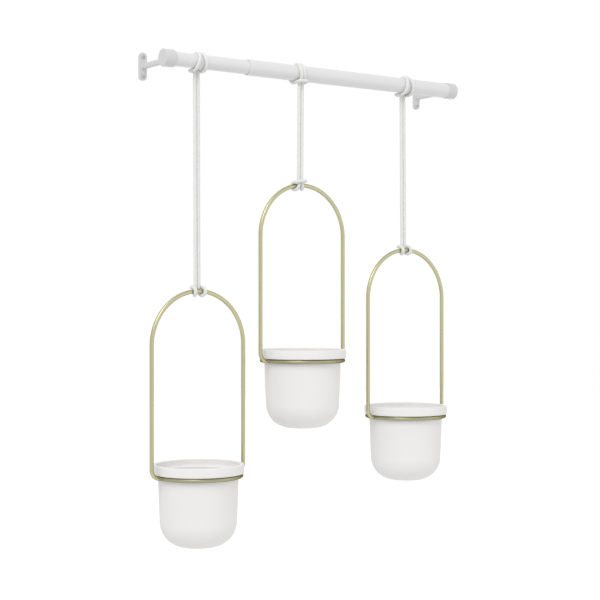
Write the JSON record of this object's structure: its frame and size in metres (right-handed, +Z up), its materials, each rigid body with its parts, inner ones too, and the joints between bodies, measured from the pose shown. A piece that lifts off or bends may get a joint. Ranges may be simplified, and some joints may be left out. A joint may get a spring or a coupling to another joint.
{
  "type": "hanging planter",
  "caption": "Wall-mounted telescopic rod with doubled cords, brass wire hoop hangers and round lipped pots hung at different heights.",
  "frame": {"origin": "on the wall plane, at the centre of the four screw holes, 1.5 mm below the rod's axis", "axes": "+X along the rod to the thicker tube's end, +Y into the wall, +Z up"},
  "size_m": [0.6129, 0.1566, 0.7676],
  "materials": {
    "white_tube": "satin white paint on steel tube",
    "white_bracket": "satin white paint on cast metal",
    "white_cord": "smooth white cotton cord",
    "satin_brass": "satin brass plated wire",
    "matt_white_pot": "matt white"
  },
  "bodies": {
    "fixed_side": {"outer_tube": "white_tube", "right_bracket": "white_bracket"},
    "sliding_side": {"inner_tube": "white_tube", "left_bracket": "white_bracket"},
    "left_knot": {"left_rod_hitch": "white_cord"},
    "left_strands": {"left_cord": "white_cord"},
    "left_hanger": {"left_hoop": "satin_brass", "left_ring": "satin_brass"},
    "left_planter": {"left_pot": "matt_white_pot"},
    "middle_knot": {"middle_rod_hitch": "white_cord"},
    "middle_strands": {"middle_cord": "white_cord"},
    "middle_hanger": {"middle_hoop": "satin_brass", "middle_ring": "satin_brass"},
    "middle_planter": {"middle_pot": "matt_white_pot"},
    "right_knot": {"right_rod_hitch": "white_cord"},
    "right_strands": {"right_cord": "white_cord"},
    "right_hanger": {"right_hoop": "satin_brass", "right_ring": "satin_brass"},
    "right_planter": {"right_pot": "matt_white_pot"}
  },
  "joints": [
    {"name": "rod_extend", "type": "slide", "parent": "fixed_side", "child": "sliding_side", "axis": [-1, 0, 0], "range_m": [0, 0.19]},
    {"name": "left_hitch_slide", "type": "slide", "parent": "sliding_side", "child": "left_knot", "axis": [1, 0, 0], "range_m": [-0.03, 0.01]},
    {"name": "left_cord_swing", "type": "hinge", "parent": "left_knot", "child": "left_strands", "pos_m": [-0.2315, -0.081, -0.02379], "axis": [1, 0, 0], "range_deg": [-25, 0.7]},
    {"name": "left_hanger_swing", "type": "hinge", "parent": "left_strands", "child": "left_hanger", "pos_m": [-0.2315, -0.086, -0.3525], "axis": [1, 0, 0], "range_deg": [-12, 1.2]},
    {"name": "left_pot_lift", "type": "slide", "parent": "left_hanger", "child": "left_planter", "axis": [0, 0, 1], "range_m": [0, 0.12]},
    {"name": "middle_hitch_slide", "type": "slide", "parent": "fixed_side", "child": "middle_knot", "axis": [1, 0, 0], "range_m": [-0.01, 0.02]},
    {"name": "middle_cord_swing", "type": "hinge", "parent": "middle_knot", "child": "middle_strands", "pos_m": [-0.0409, -0.091, -0.02564], "axis": [1, 0, 0], "range_deg": [-25, 0.7]},
    {"name": "middle_hanger_swing", "type": "hinge", "parent": "middle_strands", "child": "middle_hanger", "pos_m": [-0.0409, -0.086, -0.18039], "axis": [1, 0, 0], "range_deg": [-12, 1.2]},
    {"name": "middle_pot_lift", "type": "slide", "parent": "middle_hanger", "child": "middle_planter", "axis": [0, 0, 1], "range_m": [0, 0.12]},
    {"name": "right_hitch_slide", "type": "slide", "parent": "fixed_side", "child": "right_knot", "axis": [1, 0, 0], "range_m": [-0.02, 0.07]},
    {"name": "right_cord_swing", "type": "hinge", "parent": "right_knot", "child": "right_strands", "pos_m": [0.1843, -0.081, -0.02564], "axis": [1, 0, 0], "range_deg": [-25, 0.7]},
    {"name": "right_hanger_swing", "type": "hinge", "parent": "right_strands", "child": "right_hanger", "pos_m": [0.1843, -0.086, -0.28052], "axis": [1, 0, 0], "range_deg": [-12, 1.2]},
    {"name": "right_pot_lift", "type": "slide", "parent": "right_hanger", "child": "right_planter", "axis": [0, 0, 1], "range_m": [0, 0.12]}
  ]
}
